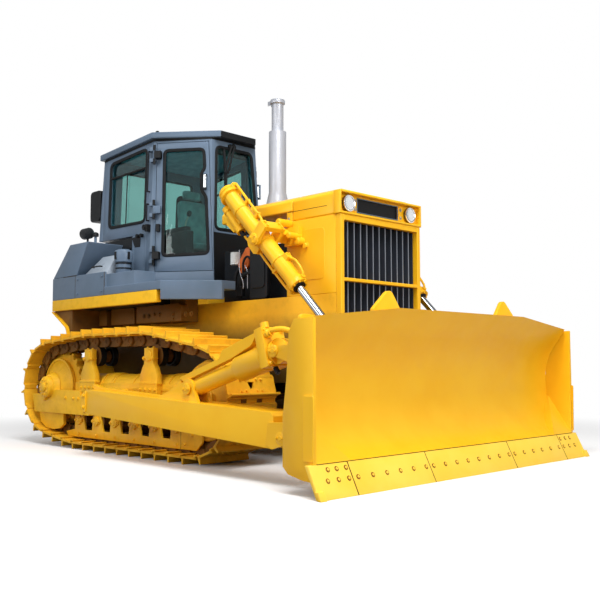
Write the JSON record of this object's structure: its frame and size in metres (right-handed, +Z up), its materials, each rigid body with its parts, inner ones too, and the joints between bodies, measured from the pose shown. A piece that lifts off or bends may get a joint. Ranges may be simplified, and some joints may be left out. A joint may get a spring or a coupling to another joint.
{
  "type": "bulldozer",
  "caption": "Crawler dozer with steel tracks, straight tilting blade on push arms, lift cylinders at the radiator guard and a closed six-sided cab.",
  "frame": {"origin": "on the ground under the middle of the machine's outline", "axes": "+X forward to the blade, +Y to the machine's left, +Z up"},
  "size_m": [5.4236, 3.725, 3.645],
  "materials": {
    "yellow_paint": "gloss",
    "slate_paint": "satin",
    "light_grey_paint": "satin",
    "track_steel": "satin",
    "dark_paint": "satin",
    "silver_paint": "satin",
    "bare_steel": "satin",
    "chrome_rod": "polished",
    "tinted_glass": "gloss",
    "lamp_glass": "gloss",
    "black_plastic": "matte",
    "seat_cloth": "matte"
  },
  "bodies": {
    "chassis": {"air_cleaner": "slate_paint", "battery_boxes": "light_grey_paint", "belly_guard": "yellow_paint", "cab_floor": "black_plastic", "cab_front": "slate_paint", "cab_glass": "tinted_glass", "cab_rear": "slate_paint", "cab_roof": "slate_paint", "cab_shelf": "slate_paint", "cab_side_left": "slate_paint", "cab_side_right": "slate_paint", "control_consoles": "black_plastic", "drawbar": "yellow_paint", "engine_block": "dark_paint", "exhaust_stack": "silver_paint", "fender_bands": "yellow_paint", "fenders": "slate_paint", "final_drives": "yellow_paint", "fuel_tank": "slate_paint", "grille": "dark_paint", "headlamp_panel": "yellow_paint", "headlamps": "lamp_glass", "hood_front": "yellow_paint", "hood_rear": "yellow_paint", "idlers": "yellow_paint", "lift_yokes": "yellow_paint", "main_frame": "yellow_paint", "radiator": "dark_paint", "radiator_guards": "yellow_paint", "roller_guards": "yellow_paint", "rollers": "yellow_paint", "seat_base": "black_plastic", "seat_cushions": "seat_cloth", "sprockets": "bare_steel", "track_frame_pivots": "yellow_paint", "track_frames": "yellow_paint", "track_left": "track_steel", "track_right": "track_steel", "transmission_case": "yellow_paint", "work_lamps": "black_plastic"},
    "blade_assembly": {"blade": "yellow_paint", "cutting_edges": "yellow_paint", "end_bits": "yellow_paint", "push_arms": "yellow_paint", "tilt_cylinder": "yellow_paint", "tilt_brace": "yellow_paint"},
    "lift_barrel_left": {"lift_barrel_left": "yellow_paint"},
    "lift_barrel_right": {"lift_barrel_right": "yellow_paint"},
    "lift_rod_left": {"lift_rod_left": "chrome_rod"},
    "lift_rod_right": {"lift_rod_right": "chrome_rod"},
    "door_left": {"door_left": "slate_paint", "door_glass_left": "tinted_glass"},
    "door_right": {"door_right": "slate_paint", "door_glass_right": "tinted_glass"},
    "rain_cap": {"rain_cap": "silver_paint"}
  },
  "joints": [
    {"name": "blade_lift", "type": "hinge", "parent": "chassis", "child": "blade_assembly", "pos_m": [-0.69819, 0, 0.53], "axis": [0, -1, 0], "range_deg": [-9, 20]},
    {"name": "lift_barrel_left_pivot", "type": "hinge", "parent": "chassis", "child": "lift_barrel_left", "pos_m": [1.03181, 0.85, 2], "axis": [0, -1, 0], "range_deg": [-12.5, 27.5]},
    {"name": "lift_rod_left_slide", "type": "slide", "parent": "lift_barrel_left", "child": "lift_rod_left", "axis": [0.7071, 0, -0.7071], "range_m": [-0.76, 0.345]},
    {"name": "lift_barrel_right_pivot", "type": "hinge", "parent": "chassis", "child": "lift_barrel_right", "pos_m": [1.03181, -0.85, 2], "axis": [0, -1, 0], "range_deg": [-12.5, 27.5]},
    {"name": "lift_rod_right_slide", "type": "slide", "parent": "lift_barrel_right", "child": "lift_rod_right", "axis": [0.7071, 0, -0.7071], "range_m": [-0.76, 0.345]},
    {"name": "door_left_hinge", "type": "hinge", "parent": "chassis", "child": "door_left", "pos_m": [-0.87062, 0.72472, 2.55], "axis": [0, 0, 1], "range_deg": [0, 100]},
    {"name": "door_right_hinge", "type": "hinge", "parent": "chassis", "child": "door_right", "pos_m": [-0.87062, -0.72472, 2.55], "axis": [0, 0, -1], "range_deg": [0, 100]},
    {"name": "rain_cap_hinge", "type": "hinge", "parent": "chassis", "child": "rain_cap", "pos_m": [0.18981, 0, 3.635], "axis": [0, -1, 0], "range_deg": [0, 80]}
  ],
  "couplings": [
    {"joint": "lift_barrel_left_pivot", "follows": "blade_lift", "ratio": 1.33},
    {"joint": "lift_rod_left_slide", "follows": "blade_lift", "m_per_rad": -2.1486},
    {"joint": "lift_barrel_right_pivot", "follows": "blade_lift", "ratio": 1.33},
    {"joint": "lift_rod_right_slide", "follows": "blade_lift", "m_per_rad": -2.1486}
  ]
}
